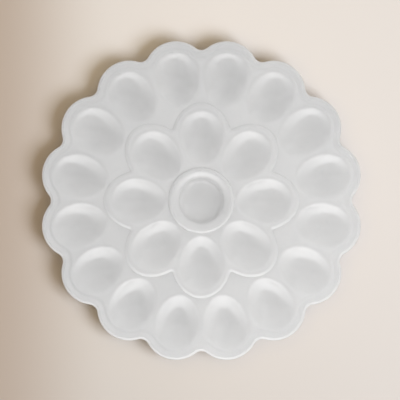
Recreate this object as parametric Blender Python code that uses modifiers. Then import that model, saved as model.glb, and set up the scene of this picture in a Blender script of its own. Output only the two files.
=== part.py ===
"""Flower-shaped egg holder tray: a scalloped outer tray with a ring of egg wells,
an eight-petal inner tray that lies in its middle, a dip cup that drops into the
inner tray, and the bumpers it stands on. Metres, +Z up, z = 0 is the table."""

import math

import bmesh
import bpy
from mathutils import Matrix, Vector

MM = 0.001

# Levels above the table, mm
FOOT_TOP = 4.2
BASE_Z = 3.0  # flat underside of the pan
PAN_FLOOR_Z = 7.4
PLATE_Z = 22.0  # flat top of the outer tray
PLATE_UNDER_Z = 18.0
LIP_Z = 23.6  # top of the raised rim
RIM_UNDER_Z = 19.4  # underside of the rim, which is thinner than the plate inside it
GAP = 0.3  # between pieces that rest on each other
FLANGE_T = 2.2  # inner tray's flat rim

# Scalloped outline: lobes joined by notch fillets
LOBES = 16
LOBE_R = 32.0
LOBE_CENTRE = 129.5
NOTCH_R = 9.0
NOTCH_CENTRE = 159.3
LOBE_PHASE = 360.0 / LOBES / 2
RIM_BEVEL = 1.9
LIP_BAND = 6.8  # width of the sloping band inside the rim
LIP_EDGE = 2.6  # width of the rounded rim outside the band
PLATE_INSET = 3.5  # the thicker plate starts this far inside the outline
PLATE_SLOPE = 5.5  # and slopes down to its underside over this much

# Petal outline: eight ellipses round the centre
PETALS = 8
PETAL_CENTRE = 57.0
PETAL_A = 40.0
PETAL_B = 30.0
PETAL_NOTCH_R = 1.8
FLANGE_BEVEL = 0.9
RECESS_INSET = 3.0  # ledge that carries the inner tray
PAN_WALL = 4.0
DRAFT = 0.93  # pan is this much smaller at its floor

# Egg wells, wide end outwards
WELL_HALF_LENGTH = 26.6
OUTER_WELL_HALF_WIDTH = 21.6
INNER_WELL_HALF_WIDTH = 21.3
WELL_EGG = 0.10
WELL_DEPTH = 12.0
OUTER_WELL_R = 123.7
INNER_WELL_R = 62.5
OUTER_WALL = 4.0
INNER_WALL = 3.0
FLARE = 1.0  # the well's lip is eased open this much

# Dip cup
CUP_HOLE_R = 28.6
CUP_BODY_R = 28.0
CUP_RIM_R = 32.0

# Bumpers
FEET = 8
FOOT_RING_R = 78.0
FOOT_R = 5.0
POCKET_R = 5.3
POCKET_Z = 4.5
FOOT_BEVEL = 0.6


def clear_scene():
    for obj in list(bpy.data.objects):
        bpy.data.objects.remove(obj, do_unlink=True)


def new_collection(name, cutters=False):
    made = bpy.data.collections.new(name)
    bpy.context.scene.collection.children.link(made)
    made.hide_render = cutters
    return made


def as_cutter(obj):
    obj.hide_render = True
    obj.display_type = "WIRE"
    return obj


def new_object(name, mesh, collection):
    obj = bpy.data.objects.new(name, mesh)
    collection.objects.link(obj)
    return obj


def mesh_from(bm, name):
    bmesh.ops.recalc_face_normals(bm, faces=bm.faces[:])
    mesh = bpy.data.meshes.new(name)
    bm.to_mesh(mesh)
    bm.free()
    return mesh


def polar(radius, degrees):
    angle = math.radians(degrees)
    return Vector((radius * math.cos(angle), radius * math.sin(angle)))


def arc(centre, radius, start, stop, steps, ends=True):
    """Points on an arc, from start to stop in degrees."""
    found = []
    for i in range(steps + 1):
        if not ends and i in (0, steps):
            continue
        found.append(centre + polar(radius, start + (stop - start) * i / steps))
    return found


def scallop_outline(lobe_steps=7, notch_steps=3):
    """The tray's outline in mm, anticlockwise."""
    half = 180.0 / LOBES
    lobe = Vector((LOBE_CENTRE, 0.0))
    notch = polar(NOTCH_CENTRE, half)
    turn = math.degrees(math.atan2(notch.y - lobe.y, notch.x - lobe.x))
    one = arc(lobe, LOBE_R, -turn, turn, lobe_steps)
    one += arc(notch, NOTCH_R, 180 + turn, 180 + 2 * half - turn, notch_steps, ends=False)
    points = []
    for i in range(LOBES):
        spin = Matrix.Rotation(math.radians(LOBE_PHASE + i * 360.0 / LOBES), 2)
        points += [spin @ p for p in one]
    return points


def inset_share(inset):
    """The scale about the centre that moves the tray's outline inwards by inset."""
    return 1.0 - inset / (LOBE_CENTRE + LOBE_R)


def petal_outline(grow=0.0, petal_steps=9, notch_steps=2):
    """The inner tray's outline in mm, anticlockwise, grown outwards by grow."""
    a, b, fillet = PETAL_A + grow, PETAL_B + grow, PETAL_NOTCH_R
    half = 180.0 / PETALS

    def at(t):
        point = Vector((PETAL_CENTRE + a * math.cos(t), b * math.sin(t)))
        normal = Vector((b * math.cos(t), a * math.sin(t))).normalized()
        return point, point + fillet * normal

    low, high = 0.0, math.pi / 2
    for _ in range(60):
        middle = (low + high) / 2
        centre = at(middle)[1]
        if math.degrees(math.atan2(centre.y, centre.x)) < half:
            low = middle
        else:
            high = middle
    end, centre = at(low)
    one = [at(low * (2 * i / petal_steps - 1))[0] for i in range(petal_steps + 1)]
    start = math.degrees(math.atan2(end.y - centre.y, end.x - centre.x)) % 360
    one += arc(centre, fillet, start, 2 * (180 + half) - start, notch_steps, ends=False)
    points = []
    for i in range(PETALS):
        spin = Matrix.Rotation(math.radians(i * 360.0 / PETALS), 2)
        points += [spin @ p for p in one]
    return points


def slab(outline, bottom, top, bevel=0.0, resolution=0):
    """A closed mesh (bmesh) of an outline given thickness, its edges rounded by bevel."""
    curve = bpy.data.curves.new("outline", "CURVE")
    curve.dimensions = "2D"
    curve.fill_mode = "BOTH"
    spline = curve.splines.new("POLY")
    spline.points.add(len(outline) - 1)
    for point, place in zip(spline.points, outline):
        point.co = (place.x * MM, place.y * MM, 0.0, 1.0)
    spline.use_cyclic_u = True
    curve.bevel_depth = bevel * MM
    curve.bevel_resolution = resolution
    curve.offset = -bevel * MM
    curve.extrude = ((top - bottom) / 2 - bevel) * MM
    obj = bpy.data.objects.new("outline", curve)
    bpy.context.scene.collection.objects.link(obj)
    obj.location.z = (top + bottom) / 2 * MM
    bpy.context.view_layer.update()
    graph = bpy.context.evaluated_depsgraph_get()
    mesh = bpy.data.meshes.new_from_object(obj.evaluated_get(graph))
    bm = bmesh.new()
    bm.from_mesh(mesh)
    bmesh.ops.transform(bm, matrix=obj.matrix_world.copy(), verts=bm.verts[:])
    bmesh.ops.remove_doubles(bm, verts=bm.verts[:], dist=1e-6)
    bpy.data.meshes.remove(mesh)
    bpy.data.objects.remove(obj, do_unlink=True)
    bpy.data.curves.remove(curve)
    return bm


def draft(bm, scale):
    """Narrows the lower end of a slab about the centre."""
    middle = sum(v.co.z for v in bm.verts) / len(bm.verts)
    low = [v for v in bm.verts if v.co.z < middle]
    bmesh.ops.scale(bm, vec=(scale, scale, 1.0), verts=low)
    return bm


def egg_bowl(half_length, half_width, depth, top, height, flare, segments, rings):
    """A solid with an egg-shaped plan and a bowl-shaped underside, from top - depth to
    top, carried straight up by height. x is the egg's long axis, wide end at +x."""
    bm = bmesh.new()
    bmesh.ops.create_uvsphere(bm, u_segments=segments, v_segments=2 * rings, radius=1.0)
    upper = [v for v in bm.verts if v.co.z > 1e-4]
    bmesh.ops.delete(bm, geom=upper, context="VERTS")
    for v in bm.verts:
        latitude = math.degrees(math.asin(max(-1.0, min(1.0, v.co.z))))
        share = 1.0 + latitude / 90.0
        angle = math.atan2(v.co.y, v.co.x)
        across = share * math.sin(angle)
        along = share * math.cos(angle)
        v.co = Vector(
            (
                half_length * along,
                half_width * across * (1.0 + WELL_EGG * along),
                top - depth * (1.0 - share * share),
            )
        )
    rim = [e for e in bm.edges if e.is_boundary]
    if flare:
        # The bowl stops a little short of the top, and eases outwards into it.
        for v in {v for e in rim for v in e.verts}:
            v.co.x *= 1.0 - 0.5 * flare / half_length
            v.co.y *= 1.0 - 0.5 * flare / half_width
            v.co.z -= 0.9 * flare
        grown = bmesh.ops.extrude_edge_only(bm, edges=rim)["geom"]
        for v in (g for g in grown if isinstance(g, bmesh.types.BMVert)):
            v.co.x *= 1.0 + 1.7 * flare / half_length
            v.co.y *= 1.0 + 1.7 * flare / half_width
            v.co.z = top
        rim = [g for g in grown if isinstance(g, bmesh.types.BMEdge)]
    grown = bmesh.ops.extrude_edge_only(bm, edges=rim)["geom"]
    bmesh.ops.translate(
        bm,
        vec=(0.0, 0.0, height),
        verts=[g for g in grown if isinstance(g, bmesh.types.BMVert)],
    )
    rim = [g for g in grown if isinstance(g, bmesh.types.BMEdge)]
    bmesh.ops.contextual_create(bm, geom=rim)
    bmesh.ops.scale(bm, vec=(MM, MM, MM), verts=bm.verts[:])
    return mesh_from(bm, "egg bowl")


def cut_level(mesh, level, name):
    """The part of a closed mesh below a level, so that a shell stops inside the plate
    it joins."""
    bm = bmesh.new()
    bm.from_mesh(mesh)
    bpy.data.meshes.remove(mesh)
    bmesh.ops.bisect_plane(
        bm,
        geom=bm.verts[:] + bm.edges[:] + bm.faces[:],
        plane_co=(0.0, 0.0, level * MM),
        plane_no=(0.0, 0.0, 1.0),
        clear_outer=True,
    )
    bmesh.ops.contextual_create(bm, geom=[e for e in bm.edges if e.is_boundary])
    return mesh_from(bm, name)


def ring_of(mesh, count, radius, phase, name, collection):
    """Copies of a mesh round the centre, each turned to face outwards."""
    made = []
    for i in range(count):
        angle = math.radians(phase + i * 360.0 / count)
        obj = new_object(f"{name}_{i + 1}", mesh, collection)
        obj.rotation_euler = (0.0, 0.0, angle)
        obj.location = (radius * MM * math.cos(angle), radius * MM * math.sin(angle), 0.0)
        made.append(as_cutter(obj))
    return made


def cylinder(radius, bottom, top, segments, bevel=0.0):
    bm = bmesh.new()
    bmesh.ops.create_cone(
        bm,
        cap_ends=True,
        segments=segments,
        radius1=radius * MM,
        radius2=radius * MM,
        depth=(top - bottom) * MM,
    )
    bmesh.ops.translate(bm, vec=(0.0, 0.0, (top + bottom) / 2 * MM), verts=bm.verts[:])
    if bevel:
        low = [
            e
            for e in bm.edges
            if all(v.co.z < (bottom + 0.01) * MM for v in e.verts)
        ]
        bmesh.ops.bevel(
            bm, geom=low, offset=bevel * MM, segments=1, profile=0.5, affect="EDGES"
        )
    return mesh_from(bm, "cylinder")


def boolean(obj, name, operation, collection):
    modifier = obj.modifiers.new(name, "BOOLEAN")
    modifier.operation = operation
    modifier.operand_type = "COLLECTION"
    modifier.collection = collection
    modifier.solver = "EXACT"


def finish(obj):
    """Applies the modifiers, and shades the round faces smooth."""
    bpy.context.view_layer.update()
    graph = bpy.context.evaluated_depsgraph_get()
    mesh = bpy.data.meshes.new_from_object(obj.evaluated_get(graph))
    mesh.name = obj.name
    obj.modifiers.clear()
    obj.data = mesh
    mesh.shade_smooth()
    mesh.set_sharp_from_angle(angle=math.radians(32))


def material(name, colour, roughness, coat=0.0, ior=1.5):
    made = bpy.data.materials.new(name)
    made.use_nodes = True
    shader = made.node_tree.nodes["Principled BSDF"]
    shader.inputs["Base Color"].default_value = (*colour, 1.0)
    shader.inputs["Roughness"].default_value = roughness
    shader.inputs["IOR"].default_value = ior
    shader.inputs["Coat Weight"].default_value = coat
    made.diffuse_color = (*colour, 1.0)
    return made


def build_outer_tray(parts):
    added = new_collection("Outer tray shells", cutters=True)
    cut = new_collection("Outer tray cutters", cutters=True)

    bm = slab(scallop_outline(), RIM_UNDER_Z, LIP_Z, RIM_BEVEL, 1)
    tray = new_object("outer_tray", mesh_from(bm, "outer_tray"), parts)

    # Underneath: the plate, the pan in the middle, and a shell round each well
    inset = inset_share(PLATE_INSET)
    bm = slab([p * inset for p in scallop_outline()], PLATE_UNDER_Z, PLATE_Z - 0.5)
    bm = draft(bm, inset_share(PLATE_INSET + PLATE_SLOPE) / inset)
    as_cutter(new_object("plate", mesh_from(bm, "plate"), added))
    bm = draft(slab(petal_outline(grow=PAN_WALL - RECESS_INSET), BASE_Z, PLATE_Z - 1.5), DRAFT)
    as_cutter(new_object("pan_body", mesh_from(bm, "pan body"), added))
    shell = egg_bowl(
        WELL_HALF_LENGTH + 5.6,
        OUTER_WELL_HALF_WIDTH + 5.1,
        WELL_DEPTH + OUTER_WALL,
        PLATE_Z,
        0.0,
        0.0,
        16,
        3,
    )
    shell = cut_level(shell, PLATE_UNDER_Z + 1.7, "outer shell")
    ring_of(shell, LOBES, OUTER_WELL_R, LOBE_PHASE, "outer_shell", added)

    # Above: the shallow well inside the rim, the egg wells, and the recess
    inset = inset_share(LIP_EDGE)
    bm = slab([p * inset for p in scallop_outline()], PLATE_Z, LIP_Z + 0.4)
    bm = draft(bm, inset_share(LIP_EDGE + LIP_BAND) / inset)
    as_cutter(new_object("rim_cutter", mesh_from(bm, "rim cutter"), cut))
    well = egg_bowl(
        WELL_HALF_LENGTH,
        OUTER_WELL_HALF_WIDTH,
        WELL_DEPTH,
        PLATE_Z,
        6.0,
        FLARE,
        18,
        4,
    )
    ring_of(well, LOBES, OUTER_WELL_R, LOBE_PHASE, "outer_well", cut)
    bm = slab(petal_outline(grow=-RECESS_INSET), PAN_FLOOR_Z, PLATE_Z + 5.0)
    as_cutter(new_object("recess", mesh_from(draft(bm, DRAFT), "recess"), cut))
    pocket = cylinder(POCKET_R, BASE_Z - 2.0, POCKET_Z, 16)
    ring_of(pocket, FEET, FOOT_RING_R, 0.0, "foot_pocket", cut)

    boolean(tray, "Shells", "UNION", added)
    boolean(tray, "Cuts", "DIFFERENCE", cut)
    finish(tray)
    return tray


def build_inner_tray(parts):
    added = new_collection("Inner tray shells", cutters=True)
    cut = new_collection("Inner tray cutters", cutters=True)
    bottom = PLATE_Z + GAP
    top = bottom + FLANGE_T

    bm = slab(petal_outline(), bottom, top, FLANGE_BEVEL, 1)
    tray = new_object("inner_tray", mesh_from(bm, "inner_tray"), parts)

    shell = egg_bowl(
        WELL_HALF_LENGTH + 4.4,
        INNER_WELL_HALF_WIDTH + 3.9,
        WELL_DEPTH + INNER_WALL,
        top,
        0.0,
        0.0,
        16,
        3,
    )
    shell = cut_level(shell, bottom + 1.2, "inner shell")
    ring_of(shell, PETALS, INNER_WELL_R, 0.0, "inner_shell", added)

    well = egg_bowl(
        WELL_HALF_LENGTH,
        INNER_WELL_HALF_WIDTH,
        WELL_DEPTH,
        top,
        4.0,
        FLARE,
        18,
        4,
    )
    ring_of(well, PETALS, INNER_WELL_R, 0.0, "inner_well", cut)
    hole = cylinder(CUP_HOLE_R, bottom - 3.0, top + 3.0, 40)
    as_cutter(new_object("cup_hole", hole, cut))

    boolean(tray, "Shells", "UNION", added)
    boolean(tray, "Cuts", "DIFFERENCE", cut)
    finish(tray)
    return tray


def build_dip_cup(parts):
    """Turned: a small bowl that flares out to a rolled rim, which rests on the inner tray."""
    seat = PLATE_Z + GAP + FLANGE_T + GAP
    profile = [
        (0.0, 11.8),
        (8.0, 11.9),
        (14.5, 12.1),
        (17.8, 12.9),
        (19.8, 14.8),
        (21.0, 17.6),
        (22.0, 20.4),
        (23.2, 22.8),
        (25.2, 24.8),
        (27.4, 26.3),
        (29.0, 27.4),
        (30.0, 27.8),
        (31.0, 27.2),
        (31.7, 26.4),
        (CUP_RIM_R, 25.6),
        (CUP_RIM_R - 0.5, seat),
        (CUP_BODY_R, seat),
        (CUP_BODY_R, 21.6),
        (24.6, 18.4),
        (22.0, 14.4),
        (19.0, 10.6),
        (15.5, 9.2),
        (0.0, 9.2),
    ]
    bm = bmesh.new()
    verts = [bm.verts.new((x * MM, 0.0, z * MM)) for x, z in profile]
    for a, b in zip(verts, verts[1:]):
        bm.edges.new((a, b))
    mesh = bpy.data.meshes.new("dip_cup")
    bm.to_mesh(mesh)
    bm.free()
    cup = new_object("dip_cup", mesh, parts)
    screw = cup.modifiers.new("Turned", "SCREW")
    screw.axis = "Z"
    screw.angle = math.radians(360)
    screw.steps = 40
    screw.render_steps = 40
    screw.use_merge_vertices = True
    screw.merge_threshold = 0.00001
    screw.use_smooth_shade = True
    return cup


def build_feet(parts):
    """Soft bumpers, each seated in its own pocket under the pan."""
    mesh = cylinder(FOOT_R, 0.0, FOOT_TOP, 16, FOOT_BEVEL)
    mesh.name = "foot"
    mesh.shade_smooth()
    mesh.set_sharp_from_angle(angle=math.radians(50))
    feet = []
    for i in range(FEET):
        foot = new_object(f"foot_{i + 1}", mesh, parts)
        place = polar(FOOT_RING_R * MM, i * 360.0 / FEET)
        foot.location = (place.x, place.y, 0.0)
        feet.append(foot)
    return feet


def main():
    clear_scene()
    parts = new_collection("egg holder tray")
    outer = build_outer_tray(parts)
    inner = build_inner_tray(parts)
    cup = build_dip_cup(parts)
    feet = build_feet(parts)

    white = (0.76, 0.765, 0.77)
    outer.data.materials.append(material("outer tray glaze", white, 0.12, coat=0.5))
    inner.data.materials.append(material("inner tray glaze", white, 0.12, coat=0.5))
    cup.data.materials.append(material("dip cup glaze", white, 0.12, coat=0.5))
    feet[0].data.materials.append(
        material("bumper silicone", (0.78, 0.78, 0.77), 0.55, ior=1.41)
    )


main()
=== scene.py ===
import math

import bmesh
import bpy
import numpy as np
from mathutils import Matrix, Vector


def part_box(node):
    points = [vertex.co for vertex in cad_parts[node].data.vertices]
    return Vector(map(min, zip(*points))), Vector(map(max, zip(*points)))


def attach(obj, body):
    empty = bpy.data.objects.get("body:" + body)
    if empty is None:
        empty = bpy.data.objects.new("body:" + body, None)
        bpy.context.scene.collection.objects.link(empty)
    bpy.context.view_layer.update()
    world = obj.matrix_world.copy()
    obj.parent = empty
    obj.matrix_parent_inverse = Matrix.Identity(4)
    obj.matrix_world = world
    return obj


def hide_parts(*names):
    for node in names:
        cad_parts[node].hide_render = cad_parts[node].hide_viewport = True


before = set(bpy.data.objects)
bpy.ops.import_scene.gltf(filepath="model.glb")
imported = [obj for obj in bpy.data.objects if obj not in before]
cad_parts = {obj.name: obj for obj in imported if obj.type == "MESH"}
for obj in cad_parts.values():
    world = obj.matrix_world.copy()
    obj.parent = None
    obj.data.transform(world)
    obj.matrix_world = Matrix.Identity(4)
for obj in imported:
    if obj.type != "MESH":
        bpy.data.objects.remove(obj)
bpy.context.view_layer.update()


MM = 0.001
TURN = 2 * math.pi


def level(node, end):
    """A CAD node's lowest (0) or highest (1) level, in mm."""
    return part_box(node)[end].z / MM


# Levels and radii in mm, from the CAD frame
BASE_Z = level("outer_tray", 0)
LIP_Z = level("outer_tray", 1)
INNER_TOP = level("inner_tray", 1)
INNER_BOTTOM = level("inner_tray", 0)
CUP_BOTTOM = level("dip_cup", 0)
CUP_TOP = level("dip_cup", 1)
FOOT_TOP = level("foot_1", 1)
PLATE_Z = 22.0
PLATE_UNDER_Z = 18.0
PAN_FLOOR_Z = 7.4
FLANGE_UNDER_Z = 22.3
RIM_UNDER_Z = 19.4

LOBES, LOBE_R, LOBE_CENTRE, NOTCH_R, NOTCH_CENTRE = 16, 32.0, 129.5, 9.0, 159.3
PETALS, PETAL_CENTRE, PETAL_A, PETAL_B, PETAL_NOTCH_R = 8, 57.0, 40.0, 30.0, 1.8
WELL_A, OUTER_B, INNER_B, EGG, DEPTH = 27.5, 22.3, 22.1, 0.10, 12.0
OUTER_R, INNER_R = 123.7, 62.5
DRAFT = 0.93


# ---------------------------------------------------------------- plan outlines


def folded(theta, count, phase):
    """The angle from the nearest lobe's axis, and that axis, in radians."""
    step = TURN / count
    axis = np.round((theta - phase) / step) * step + phase
    return theta - axis, axis


def rotated(x, y, angle):
    c, s = np.cos(angle), np.sin(angle)
    return np.stack([x * c - y * s, x * s + y * c], axis=-1)


def scallop(theta):
    """Points and outward normals of the tray's outline at these polar angles."""
    phase = TURN / LOBES / 2
    half = TURN / LOBES / 2
    phi, axis = folded(theta, LOBES, phase)
    side = np.where(phi < 0, -1.0, 1.0)
    a = np.abs(phi)
    notch = np.array([NOTCH_CENTRE * math.cos(half), NOTCH_CENTRE * math.sin(half)])
    turn = math.atan2(notch[1], notch[0] - LOBE_CENTRE)
    touch = math.atan2(
        LOBE_R * math.sin(turn), LOBE_CENTRE + LOBE_R * math.cos(turn)
    )
    on_lobe = a <= touch
    r_lobe = LOBE_CENTRE * np.cos(a) + np.sqrt(
        LOBE_R**2 - (LOBE_CENTRE * np.sin(a)) ** 2
    )
    psi = half - a
    r_notch = NOTCH_CENTRE * np.cos(psi) - np.sqrt(
        np.maximum(NOTCH_R**2 - (NOTCH_CENTRE * np.sin(psi)) ** 2, 0)
    )
    r = np.where(on_lobe, r_lobe, r_notch)
    x, y = r * np.cos(a), r * np.sin(a)
    nx = np.where(on_lobe, x - LOBE_CENTRE, notch[0] - x)
    ny = np.where(on_lobe, y, notch[1] - y)
    size = np.hypot(nx, ny)
    return (
        rotated(x, y * side, axis),
        rotated(nx / size, ny / size * side, axis),
    )


def petal_fillet(a, b):
    """Where the fillet between two petals starts on the ellipse, and its centre."""
    half = TURN / PETALS / 2
    low, high = 0.0, math.pi / 2
    for _ in range(60):
        t = (low + high) / 2
        size = math.hypot(b * math.cos(t), a * math.sin(t))
        px, py = PETAL_CENTRE + a * math.cos(t), b * math.sin(t)
        cx = px + PETAL_NOTCH_R * b * math.cos(t) / size
        cy = py + PETAL_NOTCH_R * a * math.sin(t) / size
        if math.atan2(cy, cx) < half:
            low = t
        else:
            high = t
    return math.atan2(py, px), math.hypot(cx, cy)


def petals(theta, grow=0.0):
    """Points and outward normals of the inner tray's outline at these polar angles."""
    a, b = PETAL_A + grow, PETAL_B + grow
    half = TURN / PETALS / 2
    touch, reach = petal_fillet(a, b)
    phi, axis = folded(theta, PETALS, 0.0)
    side = np.where(phi < 0, -1.0, 1.0)
    f = np.abs(phi)
    on_petal = f <= touch
    qa = (np.cos(f) / a) ** 2 + (np.sin(f) / b) ** 2
    qb = -2 * PETAL_CENTRE * np.cos(f) / a**2
    qc = (PETAL_CENTRE / a) ** 2 - 1
    r_petal = (-qb + np.sqrt(np.maximum(qb * qb - 4 * qa * qc, 0))) / (2 * qa)
    psi = half - f
    r_notch = reach * np.cos(psi) - np.sqrt(
        np.maximum(PETAL_NOTCH_R**2 - (reach * np.sin(psi)) ** 2, 0)
    )
    r = np.where(on_petal, r_petal, r_notch)
    x, y = r * np.cos(f), r * np.sin(f)
    cx, cy = reach * math.cos(half), reach * math.sin(half)
    nx = np.where(on_petal, (x - PETAL_CENTRE) / a**2, cx - x)
    ny = np.where(on_petal, y / b**2, cy - y)
    size = np.hypot(nx, ny)
    return (
        rotated(x, y * side, axis),
        rotated(nx / size, ny / size * side, axis),
    )


def circle(theta, radius):
    return radius * np.stack([np.cos(theta), np.sin(theta)], axis=-1)


# ---------------------------------------------------------------- surfaces


def soft_min(a, b, k):
    """The lower of two surfaces, rounded over where they meet."""
    return np.minimum(a, b) - np.maximum(k - np.abs(a - b), 0) ** 2 / (4 * k)


def well_share(x, y, ring_r, count, phase, a, b, shift):
    """How far out each point lies in an egg-shaped well (1 at its edge), squared, for
    the nearest well or one beside it."""
    theta = np.arctan2(y, x)
    step = TURN / count
    axis = (np.round((theta - phase) / step) + shift) * step + phase
    u = x * np.cos(axis) + y * np.sin(axis) - ring_r
    v = -x * np.sin(axis) + y * np.cos(axis)
    along = u / a
    across = v / (b * (1 + EGG * np.clip(along, -3, 3)))
    return along**2 + across**2


def bowls(x, y, z, ring_r, count, phase, a, b, floor, depth, k):
    """A surface z with a ring of egg-shaped bowls pressed into it."""
    for shift in (0, 1, -1):
        share = well_share(x, y, ring_r, count, phase, a, b, shift)
        z = soft_min(z, floor + depth * share, k)
    return z


def smooth(low, high, v):
    t = np.clip((v - low) / (high - low), 0, 1)
    return t * t * (3 - 2 * t)


def outer_top(xy, lift=0.0):
    z = np.full(xy.shape[:-1], PLATE_Z) + lift
    return bowls(
        xy[..., 0],
        xy[..., 1],
        z,
        OUTER_R,
        LOBES,
        TURN / LOBES / 2,
        WELL_A,
        OUTER_B,
        PLATE_Z - DEPTH,
        DEPTH,
        1.9,
    )


def outer_under(xy, lift=0.0):
    z = np.full(xy.shape[:-1], PLATE_UNDER_Z) + lift
    return bowls(
        xy[..., 0],
        xy[..., 1],
        z,
        OUTER_R,
        LOBES,
        TURN / LOBES / 2,
        WELL_A + 4.8,
        OUTER_B + 4.5,
        PLATE_Z - DEPTH - 4.0,
        DEPTH + 4.0,
        3.0,
    )


def inner_top(xy):
    z = np.full(xy.shape[:-1], INNER_TOP)
    return bowls(
        xy[..., 0],
        xy[..., 1],
        z,
        INNER_R,
        PETALS,
        0.0,
        WELL_A,
        INNER_B,
        INNER_TOP - DEPTH,
        DEPTH,
        1.7,
    )


def inner_under(xy):
    z = np.full(xy.shape[:-1], FLANGE_UNDER_Z)
    return bowls(
        xy[..., 0],
        xy[..., 1],
        z,
        INNER_R,
        PETALS,
        0.0,
        WELL_A + 3.6,
        INNER_B + 3.1,
        INNER_BOTTOM,
        DEPTH + 3.0,
        2.4,
    )


def at_level(xy, z):
    if np.ndim(z) == 0:
        z = np.full(xy.shape[:-1], float(z))
    return np.concatenate([xy, z[..., None]], axis=-1)


# ---------------------------------------------------------------- meshes


def mesh_of_rings(name, rings, start=None, end=None, joined=False):
    """A closed smooth mesh from rings of points. start and end are poles; joined closes
    the last ring onto the first."""
    count = len(rings[0])
    points = np.concatenate(rings)
    rows = len(rings)
    i = np.arange(count)
    j = (i + 1) % count
    faces = []
    for k in range(rows if joined else rows - 1):
        a, b = k * count, ((k + 1) % rows) * count
        faces.append(np.stack([a + i, a + j, b + j, b + i], axis=1))
    quads = np.concatenate(faces)
    triangles = []
    if start is not None:
        triangles.append(np.stack([np.full(count, len(points)), j, i], axis=1))
        points = np.concatenate([points, [start]])
    if end is not None:
        last = (rows - 1) * count
        triangles.append(
            np.stack([last + i, last + j, np.full(count, len(points))], axis=1)
        )
        points = np.concatenate([points, [end]])
    polygons = quads.tolist()
    for t in triangles:
        polygons += t.tolist()
    mesh = bpy.data.meshes.new(name)
    mesh.from_pydata((points * MM).tolist(), [], polygons)
    bm = bmesh.new()
    bm.from_mesh(mesh)
    if bm.calc_volume(signed=True) < 0:
        bmesh.ops.reverse_faces(bm, faces=bm.faces[:])
    bm.to_mesh(mesh)
    bm.free()
    mesh.validate()
    mesh.shade_smooth()
    obj = bpy.data.objects.new(name, mesh)
    bpy.context.scene.collection.objects.link(obj)
    return obj


def arc_profile(cx, cz, radius, start, stop, steps, ends=(True, True)):
    """(x, z) points on an arc, in degrees."""
    found = []
    for i in range(steps + 1):
        if (i == 0 and not ends[0]) or (i == steps and not ends[1]):
            continue
        t = math.radians(start + (stop - start) * i / steps)
        found.append((cx + radius * math.cos(t), cz + radius * math.sin(t)))
    return found


def rounded_line(points, cuts=3):
    """A polyline with its corners cut, ends kept."""
    line = np.array(points, float)
    for _ in range(cuts):
        a, b = line[:-1], line[1:]
        q = 0.75 * a + 0.25 * b
        r = 0.25 * a + 0.75 * b
        mixed = np.empty((2 * len(a), 2))
        mixed[0::2], mixed[1::2] = q, r
        line = np.concatenate([line[:1], mixed, line[-1:]])
    return line


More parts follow.
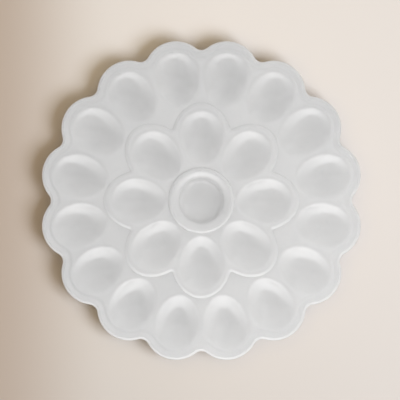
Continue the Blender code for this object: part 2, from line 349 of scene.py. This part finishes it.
def build_outer_tray():
    count = LOBES * 34
    theta = np.arange(count) * TURN / count
    rim, out = scallop(theta)
    ledge, ledge_out = petals(theta, -3.0)
    rings = []

    # Pan floor, wall and the ledge's edge
    for share in (0.12, 0.3, 0.5, 0.68, 0.8, 0.87):
        rings.append(at_level(ledge * share, PAN_FLOOR_Z))
    rise = PLATE_Z - PAN_FLOOR_Z
    for share, up in (
        (0.898, 0.0),
        (0.910, 0.10),
        (0.920, 0.45),
        (0.9275, 1.1),
        (0.9325, 2.2),
        (0.9375, 4.0),
        (0.946, 6.0),
        (0.956, 8.0),
        (0.966, 10.0),
        (0.976, 12.0),
        (0.9835, rise - 1.0),
        (0.9865, rise - 0.45),
        (0.990, rise - 0.15),
        (0.9945, rise - 0.03),
    ):
        rings.append(at_level(ledge * share, PAN_FLOOR_Z + up))

    # Top, from the ledge to the rim's band
    band = rim - 11.0 * out
    steps = 60
    for i in range(steps + 1):
        t = i / steps
        xy = (1 - t) * ledge + t * band
        rings.append(at_level(xy, outer_top(xy)))

    # A shallow groove, the raised band outside it and the rolled edge
    for inset, up in (
        (10.2, -0.01),
        (9.5, -0.10),
        (8.7, -0.30),
        (8.0, -0.43),
        (7.4, -0.46),
        (6.8, -0.34),
        (6.2, -0.08),
        (5.6, 0.20),
        (5.0, 0.50),
        (4.4, 0.80),
        (3.8, 1.10),
        (3.3, 1.36),
    ):
        xy = rim - inset * out
        rings.append(at_level(xy, outer_top(xy, up)))
    # The edge: an eased slope, then round to the underside
    low = 1.2
    under = RIM_UNDER_Z
    for x, drop in (
        (-2.75, 0.16),
        (-2.4, 0.33),
        (-2.0, 0.59),
        (-1.6, 0.88),
        (-1.2, 1.18),
        (-0.85, 1.47),
        (-0.5, 1.79),
        (-0.22, 2.14),
        (-0.05, 2.55),
        (0.0, 3.0),
    ):
        rings.append(at_level(rim + x * out, LIP_Z - drop))
    for x, z in arc_profile(-low, under + low, low, 0, -90, 6, ends=(False, True)):
        rings.append(at_level(rim + x * out, z))

    # Underside: up to the plate, the shells, the pan
    for inset in (3.0, 4.0, 5.0, 6.0, 7.0, 8.0, 9.0):
        xy = rim - inset * out
        lift = (under - PLATE_UNDER_Z) * (1 - smooth(3.0, 9.5, np.full(count, inset)))
        rings.append(at_level(xy, outer_under(xy, lift)))
    body, body_out = petals(theta, 1.0)
    inside = body * 1.0 + 2.2 * body_out
    start = rim - 9.6 * out
    steps = 40
    for i in range(steps + 1):
        t = i / steps
        xy = (1 - t) * start + t * inside
        rings.append(at_level(xy, outer_under(xy)))
    for grow, share, z in (
        (1.2, 0.999, PLATE_UNDER_Z - 0.25),
        (0.6, 0.997, PLATE_UNDER_Z - 0.9),
        (0.2, 0.993, PLATE_UNDER_Z - 2.2),
        (0.0, 0.982, PLATE_UNDER_Z - 5.0),
        (0.0, 0.967, PLATE_UNDER_Z - 8.5),
        (0.0, 0.950, PLATE_UNDER_Z - 12.0),
        (-0.1, 0.944, BASE_Z + 1.6),
        (-0.5, 0.942, BASE_Z + 0.7),
        (-1.1, 0.940, BASE_Z + 0.15),
        (-1.8, 0.938, BASE_Z),
    ):
        rings.append(at_level((body + grow * body_out) * share, z))
    for share in (0.85, 0.7, 0.5, 0.3, 0.12):
        rings.append(at_level(body * share, BASE_Z))
    return mesh_of_rings(
        "outer_tray_glazed",
        rings,
        start=(0.0, 0.0, PAN_FLOOR_Z),
        end=(0.0, 0.0, BASE_Z),
    )


def build_inner_tray():
    count = PETALS * 64
    theta = np.arange(count) * TURN / count
    rim, out = petals(theta, 0.6)
    hole = 28.6
    rings = []
    soft = 0.7
    for x, z in arc_profile(hole + soft, INNER_TOP - soft, soft, 180, 90, 4):
        rings.append(at_level(circle(theta, x), z))
    inside = circle(theta, hole + 1.6)
    outside = rim - 5.4 * out
    steps = 64
    for i in range(steps + 1):
        t = i / steps
        xy = (1 - t) * inside + t * outside
        rings.append(at_level(xy, inner_top(xy)))
    # The edge slopes away, ever steeper, to a thin lip with a small radius below
    for x, drop in (
        (-4.6, 0.01),
        (-3.9, 0.05),
        (-3.3, 0.16),
        (-2.8, 0.33),
        (-2.4, 0.54),
        (-2.0, 0.79),
        (-1.6, 1.05),
        (-1.2, 1.31),
        (-0.8, 1.57),
        (-0.45, 1.80),
        (-0.18, 1.99),
        (-0.02, 2.18),
        (-0.08, 2.34),
        (-0.35, 2.38),
        (-0.8, 2.36),
    ):
        xy = rim + x * out
        rings.append(at_level(xy, inner_top(xy) - drop))
    start = rim - 1.4 * out
    inside = circle(theta, hole + 1.2)
    steps = 44
    for i in range(steps + 1):
        t = i / steps
        xy = (1 - t) * start + t * inside
        rings.append(at_level(xy, inner_under(xy)))
    for x, z in arc_profile(hole + soft, FLANGE_UNDER_Z + soft, soft, -90, -180, 4):
        rings.append(at_level(circle(theta, x), z))
    return mesh_of_rings("inner_tray_glazed", rings, joined=True)


def build_dip_cup():
    seat = INNER_TOP + 0.3
    profile = [
        (0.0, CUP_BOTTOM + 2.5),
        (7.0, CUP_BOTTOM + 2.65),
        (13.0, CUP_BOTTOM + 3.5),
        (17.6, CUP_BOTTOM + 4.9),
        (20.2, CUP_BOTTOM + 6.8),
        (21.7, CUP_BOTTOM + 9.8),
        (22.6, CUP_TOP - 5.9),
        (23.7, CUP_TOP - 4.3),
        (25.8, CUP_TOP - 2.4),
        (28.2, CUP_TOP - 0.7),
        (29.9, CUP_TOP + 0.15),
        (30.9, CUP_TOP - 0.35),
        (31.9, CUP_TOP - 1.2),
        (32.6, CUP_TOP - 1.95),
        (32.85, CUP_TOP - 2.6),
        (32.8, seat - 0.16),
        (32.3, seat - 0.18),
        (31.4, seat),
        (28.0, seat),
        (28.0, 21.6),
        (25.2, 18.2),
        (23.0, 14.2),
        (20.4, 10.6),
        (16.6, CUP_BOTTOM),
        (0.0, CUP_BOTTOM),
    ]
    line = rounded_line(profile)
    count = 192
    theta = np.arange(count) * TURN / count
    rings = [at_level(circle(theta, x), z) for x, z in line[1:-1]]
    return mesh_of_rings(
        "dip_cup_glazed",
        rings,
        start=(0.0, 0.0, line[0][1]),
        end=(0.0, 0.0, line[-1][1]),
    )


def build_foot(index):
    low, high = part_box(f"foot_{index}")
    cx, cy = (low.x + high.x) / 2 / MM, (low.y + high.y) / 2 / MM
    r = (high.x - low.x) / 2 / MM
    top = high.z / MM
    profile = [(0.0, top)]
    profile += arc_profile(r - 0.3, top - 0.3, 0.3, 90, 0, 3)
    profile.append((r, 2.0))
    profile += arc_profile(r - 0.9, 0.9, 0.9, 0, -90, 6)
    profile += [(r - 1.6, 0.0), (r - 1.9, 0.12), (r - 2.3, 0.15), (0.0, 0.15)]
    count = 64
    theta = np.arange(count) * TURN / count
    middle = np.array([cx, cy])
    rings = [at_level(circle(theta, x) + middle, z) for x, z in profile[1:-1]]
    return mesh_of_rings(
        f"bumper_{index}",
        rings,
        start=(cx, cy, top),
        end=(cx, cy, 0.15),
    )


# ---------------------------------------------------------------- materials


def fresh_material(name):
    made = bpy.data.materials.new(name)
    made.use_nodes = True
    nodes, links = made.node_tree.nodes, made.node_tree.links
    return made, nodes, links, nodes["Principled BSDF"]


def noise(nodes, links, coords, scale, detail=2.0, rough=0.5):
    """3-D noise whose features are about 1 / scale metres across."""
    n = nodes.new("ShaderNodeTexNoise")
    n.inputs["Scale"].default_value = scale
    n.inputs["Detail"].default_value = detail
    n.inputs["Roughness"].default_value = rough
    links.new(coords, n.inputs["Vector"])
    return n.outputs["Fac"]


def mapped(nodes, links, value, low, high, to_low, to_high):
    m = nodes.new("ShaderNodeMapRange")
    m.inputs["From Min"].default_value = low
    m.inputs["From Max"].default_value = high
    m.inputs["To Min"].default_value = to_low
    m.inputs["To Max"].default_value = to_high
    links.new(value, m.inputs["Value"])
    return m.outputs["Result"]


def maths(nodes, links, operation, a, b):
    m = nodes.new("ShaderNodeMath")
    m.operation = operation
    for socket, value in zip(m.inputs, (a, b)):
        if isinstance(value, (int, float)):
            socket.default_value = value
        else:
            links.new(value, socket)
    return m.outputs["Value"]


def mixed_colour(nodes, links, factor, a, b):
    m = nodes.new("ShaderNodeMix")
    m.data_type = "RGBA"
    links.new(factor, m.inputs["Factor"])
    for socket, value in ((m.inputs[6], a), (m.inputs[7], b)):
        if isinstance(value, tuple):
            socket.default_value = (*value, 1.0)
        else:
            links.new(value, socket)
    return m.outputs[2]


def bump(nodes, links, height, distance, normal=None, strength=1.0):
    b = nodes.new("ShaderNodeBump")
    b.inputs["Strength"].default_value = strength
    b.inputs["Distance"].default_value = distance
    links.new(height, b.inputs["Height"])
    if normal is not None:
        links.new(normal, b.inputs["Normal"])
    return b.outputs["Normal"]


def glaze(name, seed):
    """Glossy white glaze over porcelain: a clear coat with a faint grey mottle, a
    little orange peel, a slow waviness and a few pinholes."""
    made, nodes, links, shader = fresh_material(name)
    coords = nodes.new("ShaderNodeTexCoord").outputs["Object"]
    shifted = nodes.new("ShaderNodeVectorMath")
    shifted.operation = "ADD"
    shifted.inputs[1].default_value = (seed, -seed, 0.37 * seed)
    links.new(coords, shifted.inputs[0])
    at = shifted.outputs["Vector"]

    cloud = noise(nodes, links, at, 22.0, 3.0, 0.55)
    mottle = noise(nodes, links, at, 160.0, 2.0)
    white = mixed_colour(
        nodes,
        links,
        mapped(nodes, links, cloud, 0.35, 0.65, 0.0, 1.0),
        (0.735, 0.732, 0.730),
        (0.765, 0.760, 0.755),
    )
    white = mixed_colour(
        nodes,
        links,
        mapped(nodes, links, mottle, 0.55, 0.75, 0.0, 0.35),
        white,
        (0.714, 0.714, 0.716),
    )
    # Pinholes: sparse specks a third of a millimetre across
    cells = nodes.new("ShaderNodeTexVoronoi")
    cells.feature = "F1"
    cells.inputs["Scale"].default_value = 55.0
    links.new(at, cells.inputs["Vector"])
    speck = mapped(nodes, links, cells.outputs["Distance"], 0.014, 0.006, 0.0, 1.0)
    white = mixed_colour(
        nodes,
        links,
        maths(nodes, links, "MULTIPLY", speck, 0.35),
        white,
        (0.42, 0.40, 0.37),
    )
    links.new(white, shader.inputs["Base Color"])

    links.new(
        mapped(nodes, links, cloud, 0.3, 0.7, 0.11, 0.17), shader.inputs["Roughness"]
    )
    shader.inputs["IOR"].default_value = 1.5

    wave = noise(nodes, links, at, 45.0, 1.0)
    peel = noise(nodes, links, at, 620.0, 2.0, 0.5)
    normal = bump(nodes, links, wave, 0.00012)
    normal = bump(nodes, links, peel, 0.000012, normal)
    pit = mapped(nodes, links, cells.outputs["Distance"], 0.006, 0.016, 0.0, 1.0)
    normal = bump(nodes, links, pit, 0.00003, normal)
    links.new(normal, shader.inputs["Normal"])
    return made


def bisque(name):
    """Bare fired porcelain, where the glaze was wiped off the standing surface."""
    made, nodes, links, shader = fresh_material(name)
    coords = nodes.new("ShaderNodeTexCoord").outputs["Object"]
    cloud = noise(nodes, links, coords, 30.0, 4.0, 0.6)
    grain = noise(nodes, links, coords, 1900.0, 3.0, 0.7)
    base = mixed_colour(
        nodes,
        links,
        mapped(nodes, links, cloud, 0.35, 0.7, 0.0, 1.0),
        (0.74, 0.715, 0.67),
        (0.68, 0.645, 0.59),
    )
    base = mixed_colour(
        nodes,
        links,
        mapped(nodes, links, grain, 0.6, 0.75, 0.0, 0.5),
        base,
        (0.56, 0.52, 0.46),
    )
    links.new(base, shader.inputs["Base Color"])
    links.new(
        mapped(nodes, links, grain, 0.3, 0.7, 0.72, 0.9), shader.inputs["Roughness"]
    )
    normal = bump(nodes, links, grain, 0.00005)
    links.new(normal, shader.inputs["Normal"])
    return made


def silicone(name):
    made, nodes, links, shader = fresh_material(name)
    coords = nodes.new("ShaderNodeTexCoord").outputs["Object"]
    cloud = noise(nodes, links, coords, 300.0, 3.0)
    fine = noise(nodes, links, coords, 2600.0, 3.0, 0.6)
    base = mixed_colour(
        nodes,
        links,
        mapped(nodes, links, cloud, 0.35, 0.65, 0.0, 1.0),
        (0.70, 0.70, 0.68),
        (0.78, 0.78, 0.77),
    )
    links.new(base, shader.inputs["Base Color"])
    links.new(
        mapped(nodes, links, fine, 0.3, 0.7, 0.42, 0.62), shader.inputs["Roughness"]
    )
    shader.inputs["IOR"].default_value = 1.41
    shader.inputs["Subsurface Weight"].default_value = 0.35
    shader.inputs["Subsurface Radius"].default_value = (1.0, 0.95, 0.9)
    shader.inputs["Subsurface Scale"].default_value = 0.002
    normal = bump(nodes, links, fine, 0.00002)
    links.new(normal, shader.inputs["Normal"])
    return made


def floor_material_painted_shade():
    """Cream backdrop paper with a fine tooth. Its colour is graded by position as
    painted shade:
    a painted shadow darkens the left edge, painted falloff darkens it toward the near
    (low y) side, and the right side is painted a little darker.
    """
    made, nodes, links, shader = fresh_material("floor_paper_painted_shade")
    coords = nodes.new("ShaderNodeTexCoord").outputs["Object"]
    cloud = noise(nodes, links, coords, 3.0, 3.0)
    fine = noise(nodes, links, coords, 900.0, 3.0, 0.6)
    parts = nodes.new("ShaderNodeSeparateXYZ")
    links.new(coords, parts.inputs["Vector"])
    # Painted shade: the colour darkens toward the left edge, standing in for a shadow
    # there.
    across = mapped(nodes, links, parts.outputs["X"], -0.225, -0.085, 0.0, 1.0)
    across.node.interpolation_type = "SMOOTHSTEP"
    # Painted falloff: every tone below grows darker toward low y, the near side.
    up = mapped(nodes, links, parts.outputs["Y"], -0.25, 0.20, 0.0, 1.0)
    light = mixed_colour(
        nodes, links, up, (0.580, 0.525, 0.475), (0.775, 0.712, 0.657)
    )
    left = mixed_colour(nodes, links, up, (0.455, 0.368, 0.305), (0.51, 0.41, 0.335))
    right = mixed_colour(nodes, links, up, (0.52, 0.468, 0.425), (0.64, 0.58, 0.53))
    base = mixed_colour(nodes, links, across, left, light)
    # Painted shade: the right side is mixed toward a darker tone to temper the light
    # there.
    base = mixed_colour(
        nodes,
        links,
        mapped(nodes, links, parts.outputs["X"], 0.02, 0.2, 0.0, 0.5),
        base,
        right,
    )
    base = mixed_colour(
        nodes,
        links,
        mapped(nodes, links, cloud, 0.3, 0.7, 0.0, 0.06),
        base,
        (0.55, 0.48, 0.42),
    )
    links.new(base, shader.inputs["Base Color"])
    shader.inputs["Roughness"].default_value = 0.85
    shader.inputs["Specular IOR Level"].default_value = 0.2
    normal = bump(nodes, links, fine, 0.00003)
    links.new(normal, shader.inputs["Normal"])
    return made


# ---------------------------------------------------------------- object

outer = build_outer_tray()
inner = build_inner_tray()
cup = build_dip_cup()

bare = bisque("bare porcelain")
for piece, name, seed in (
    (outer, "outer tray glaze", 0.0),
    (inner, "inner tray glaze", 3.1),
    (cup, "dip cup glaze", 7.7),
):
    piece.data.materials.append(glaze(name, seed))
outer.data.materials.append(bare)
for polygon in outer.data.polygons:
    if polygon.center.z < (BASE_Z + 0.05) * MM and polygon.normal.z < -0.9:
        polygon.material_index = 1

rubber = silicone("bumper silicone")
feet = []
for i in range(1, 9):
    foot = build_foot(i)
    foot.data.materials.append(rubber)
    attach(foot, "outer_tray")
    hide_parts(f"foot_{i}")
    feet.append(foot)

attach(outer, "outer_tray")
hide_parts("outer_tray")
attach(inner, "inner_tray")
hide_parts("inner_tray")
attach(cup, "dip_cup")
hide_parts("dip_cup")


# ---------------------------------------------------------------- stage

floor_mesh = bpy.data.meshes.new("floor")
floor_mesh.from_pydata(
    [(-12, -12, 0), (12, -12, 0), (12, 12, 0), (-12, 12, 0)], [], [(0, 1, 2, 3)]
)
floor = bpy.data.objects.new("floor", floor_mesh)
bpy.context.scene.collection.objects.link(floor)
floor_mesh.materials.append(floor_material_painted_shade())


def area_light(name, place, target, width, height, watts, colour=(1, 1, 1)):
    data = bpy.data.lights.new(name, "AREA")
    data.shape = "RECTANGLE"
    data.size, data.size_y = width, height
    data.energy = watts
    data.color = colour
    obj = bpy.data.objects.new(name, data)
    bpy.context.scene.collection.objects.link(obj)
    obj.location = place
    toward = Vector(target) - Vector(place)
    obj.rotation_euler = toward.to_track_quat("-Z", "Y").to_euler()
    return obj




def glow_sheet(name, points, glow, columns):
    """A grid of points that shines by its per-point glow. Only reflections see it."""
    rows = len(points) // columns
    faces = [
        (
            r * columns + i,
            r * columns + i + 1,
            (r + 1) * columns + i + 1,
            (r + 1) * columns + i,
        )
        for r in range(rows - 1)
        for i in range(columns - 1)
    ]
    mesh = bpy.data.meshes.new(name)
    mesh.from_pydata(points, [], faces)
    values = mesh.attributes.new("glow", "FLOAT", "POINT")
    values.data.foreach_set("value", np.array(glow, np.float32))
    made = bpy.data.materials.new(name)
    made.use_nodes = True
    nodes, links = made.node_tree.nodes, made.node_tree.links
    nodes.remove(nodes["Principled BSDF"])
    emission = nodes.new("ShaderNodeEmission")
    attribute = nodes.new("ShaderNodeAttribute")
    attribute.attribute_name = "glow"
    links.new(attribute.outputs["Fac"], emission.inputs["Strength"])
    links.new(emission.outputs["Emission"], nodes["Material Output"].inputs["Surface"])
    mesh.materials.append(made)
    sheet = bpy.data.objects.new(name, mesh)
    bpy.context.scene.collection.objects.link(sheet)
    sheet.visible_camera = False
    sheet.visible_diffuse = False
    sheet.visible_shadow = False
    return sheet


def curved_softbox(name, radius, middle, spread, top, radiance):
    """A light wall bent round the near side, brightest at the azimuth middle (degrees)
    and fading to both sides and at its upper edge."""
    azimuths = np.radians(np.linspace(middle - 125, middle + 125, 101))
    fade = np.exp(-(((np.degrees(azimuths) - middle) / spread) ** 2))
    heights = [
        (0.0, 1.15),
        (0.4, 1.05),
        (0.8, 0.97),
        (0.96, 0.9),
        (1.01, 0.5),
        (1.05, 0.0),
    ]
    points, glow = [], []
    for share, strength in heights:
        for azimuth, f in zip(azimuths, fade):
            points.append(
                (
                    radius * math.cos(azimuth),
                    radius * math.sin(azimuth),
                    0.004 + top * share,
                )
            )
            glow.append(radiance * strength * f)
    return glow_sheet(name, points, glow, len(azimuths))


def far_tent(name, radius, radiance):
    """Half a dome over the far side, which lightens the lower half of each well."""
    columns, rows = 49, 25
    points, glow = [], []
    for r in range(rows):
        rise = math.radians(1 + 87.5 * r / (rows - 1))
        for i in range(columns):
            azimuth = math.radians(-8 + 196 * i / (columns - 1))
            points.append(
                (
                    radius * math.cos(rise) * math.cos(azimuth),
                    radius * math.cos(rise) * math.sin(azimuth),
                    radius * math.sin(rise),
                )
            )
            side = min(i, columns - 1 - i) / 6
            glow.append(radiance * min(1.0, side))
    return glow_sheet(name, points, glow, columns)


# Its reflection is the bright crescent in each well
curved_softbox("curved_softbox", 0.80, 272.0, 60.0, 0.485, 4.15)
far_tent("far_tent", 1.7, 0.9)

# Diffusers: one overhead, a little to the near right, and four low round the object
diffusers = [
    area_light("overhead", (0.26, -0.23, 0.62), (0.08, -0.08, 0.0), 0.8, 0.8, 3.2)
]
for name, x, y, z, width, height, watts in (
    ("right side", 0.75, 0.0, 0.34, 1.3, 0.55, 0.7),
    ("far side", 0.35, 1.25, 0.42, 2.2, 0.72, 6.5),
    ("left side", -1.3, 0.0, 0.42, 2.2, 0.72, 7.4),
    ("near side", 0.0, -0.75, 0.26, 1.3, 0.42, 0.95),
):
    diffusers.append(
        area_light(name, (x, y, z), (0.0, 0.0, 0.0), width, height, watts)
    )
# Light from the right across the floor, which throws the soft shadow to the left
window = area_light(
    "window light",
    (0.733, -0.39, 1.05),
    (0.0, 0.0, 0.0),
    0.75,
    0.75,
    20.0,
    colour=(0.75, 0.85, 1.0),
)
# A warm panel overhead fills that shadow
fill = area_light(
    "warm fill",
    (0.0, 0.0, 1.4),
    (0.0, 0.0, 0.0),
    2.4,
    2.4,
    11.1,
    colour=(1.0, 0.74, 0.32),
)
lit_object = bpy.data.collections.new("lit by diffusers")
lit_floor = bpy.data.collections.new("lit by window")
for piece in [outer, inner, cup] + feet:
    lit_object.objects.link(piece)
lit_floor.objects.link(floor)
for light in diffusers:
    light.visible_camera = False
    light.visible_glossy = False
    light.light_linking.receiver_collection = lit_object
for light in (window, fill):
    light.visible_glossy = False
    light.light_linking.receiver_collection = lit_floor

world = bpy.data.worlds.new("studio")
world.use_nodes = True
sky = world.node_tree.nodes["Background"]
sky.inputs["Color"].default_value = (1.0, 0.995, 0.985, 1.0)
sky.inputs["Strength"].default_value = 0.25
bpy.context.scene.world = world

camera_data = bpy.data.cameras.new("camera")
camera_data.sensor_width = 36.0
HEIGHT = 1.25
camera_data.lens = 36.0 * (HEIGHT - PLATE_Z * MM) / 0.3988
camera = bpy.data.objects.new("camera", camera_data)
bpy.context.scene.collection.objects.link(camera)
camera.location = (-0.0014, 0.0006, HEIGHT)
camera.rotation_euler = (0.0, 0.0, 0.0)
bpy.context.scene.camera = camera

bpy.context.scene.view_settings.view_transform = "Standard"
bpy.context.scene.view_settings.look = "None"
